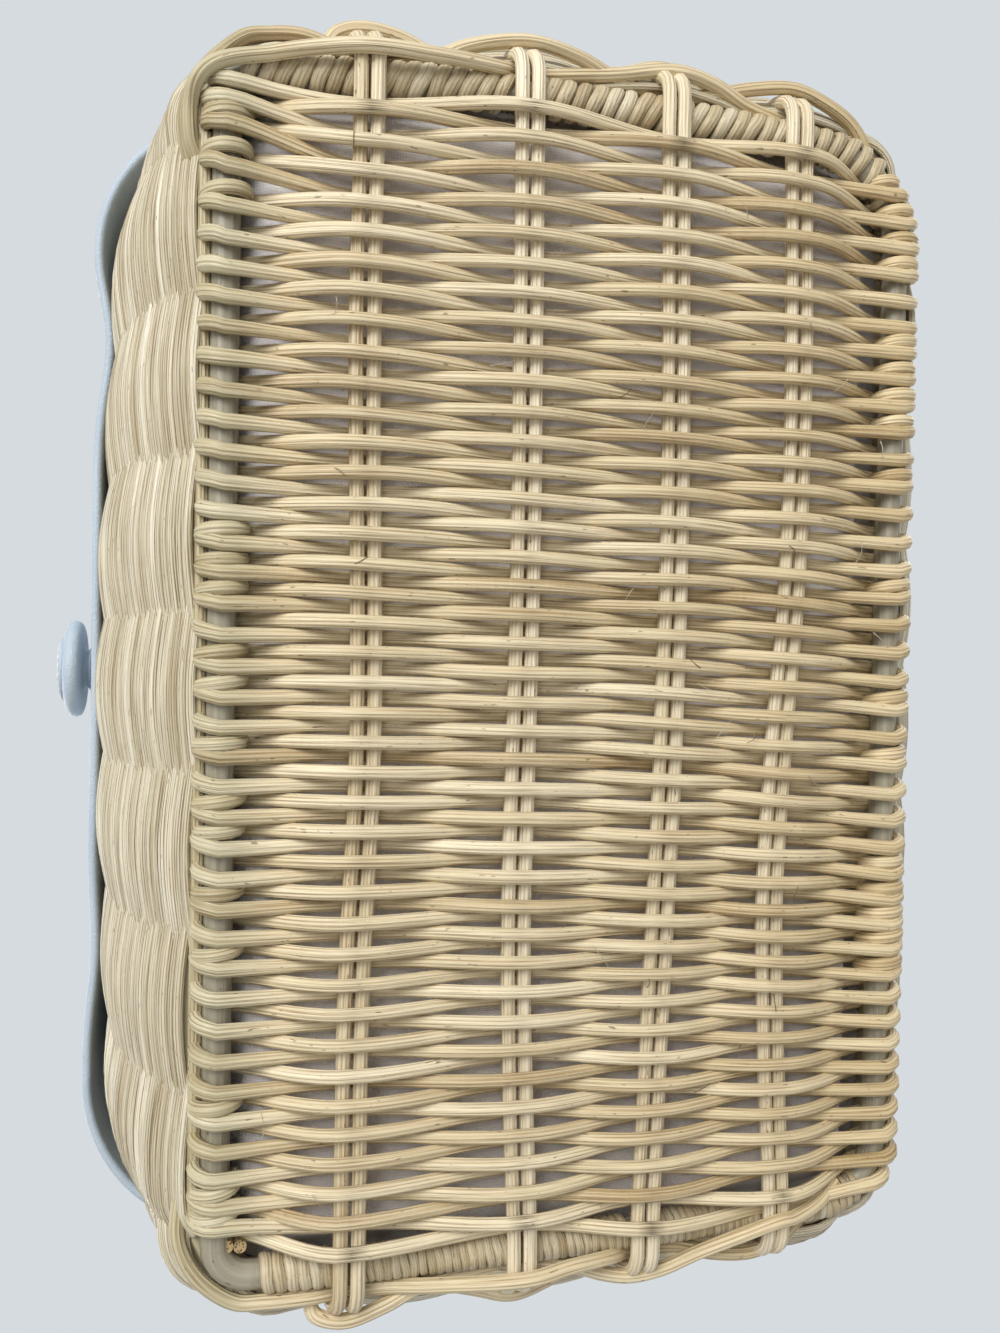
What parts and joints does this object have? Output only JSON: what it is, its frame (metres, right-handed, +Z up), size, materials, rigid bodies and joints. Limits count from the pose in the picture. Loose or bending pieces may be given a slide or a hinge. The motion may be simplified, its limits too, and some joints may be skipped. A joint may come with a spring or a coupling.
{
  "type": "basket bag",
  "caption": "Woven rattan basket bag with a flared wall, a cloth lining, a hinged leather lid whose front flap carries a round covered button, and a strap ring at each end.",
  "frame": {"origin": "on the ground under the middle of the whole bag, button included", "axes": "+Z up, +X along the bag's length towards its right end, -Y towards the front with the flap and button"},
  "size_m": [0.3122, 0.2212, 0.1644],
  "materials": {
    "rattan": "satin, unvarnished cane",
    "pole": "smooth bent cane pole",
    "leather": "pale blue-grey, low sheen",
    "lining": "plain matt cloth",
    "metal": "satin"
  },
  "bodies": {
    "basket": {"base_stake_1a": "rattan", "base_stake_1b": "rattan", "base_stake_2a": "rattan", "base_stake_2b": "rattan", "base_stake_3a": "rattan", "base_stake_3b": "rattan", "base_stake_4a": "rattan", "base_stake_4b": "rattan", "end_twine_right_a": "rattan", "end_twine_right_b": "rattan", "end_twine_left_a": "rattan", "end_twine_left_b": "rattan", "base_weave": "rattan", "wall_weave": "rattan", "rim_border": "rattan", "base_hoop": "pole", "hinge_leather": "leather", "strap_tab_right": "leather", "strap_tab_left": "leather", "lining": "lining", "wall_snap": "metal"},
    "lid": {"lid_top": "leather", "lid_skirt": "leather", "button_cap": "leather", "button_patch": "leather", "button_post": "metal"},
    "ring_right": {"strap_ring_right": "metal"},
    "ring_left": {"strap_ring_left": "metal"}
  },
  "joints": [
    {"name": "lid_hinge", "type": "hinge", "parent": "basket", "child": "lid", "pos_m": [0, 0.11084, 0.162], "axis": [-1, 0, 0], "range_deg": [0, 165]},
    {"name": "ring_right_swing", "type": "hinge", "parent": "basket", "child": "ring_right", "pos_m": [0.14988, 0.0054, 0.12834], "axis": [0, -1, 0], "range_deg": [0, 155]},
    {"name": "ring_left_swing", "type": "hinge", "parent": "basket", "child": "ring_left", "pos_m": [-0.14988, 0.0054, 0.12834], "axis": [0, 1, 0], "range_deg": [0, 155]}
  ]
}
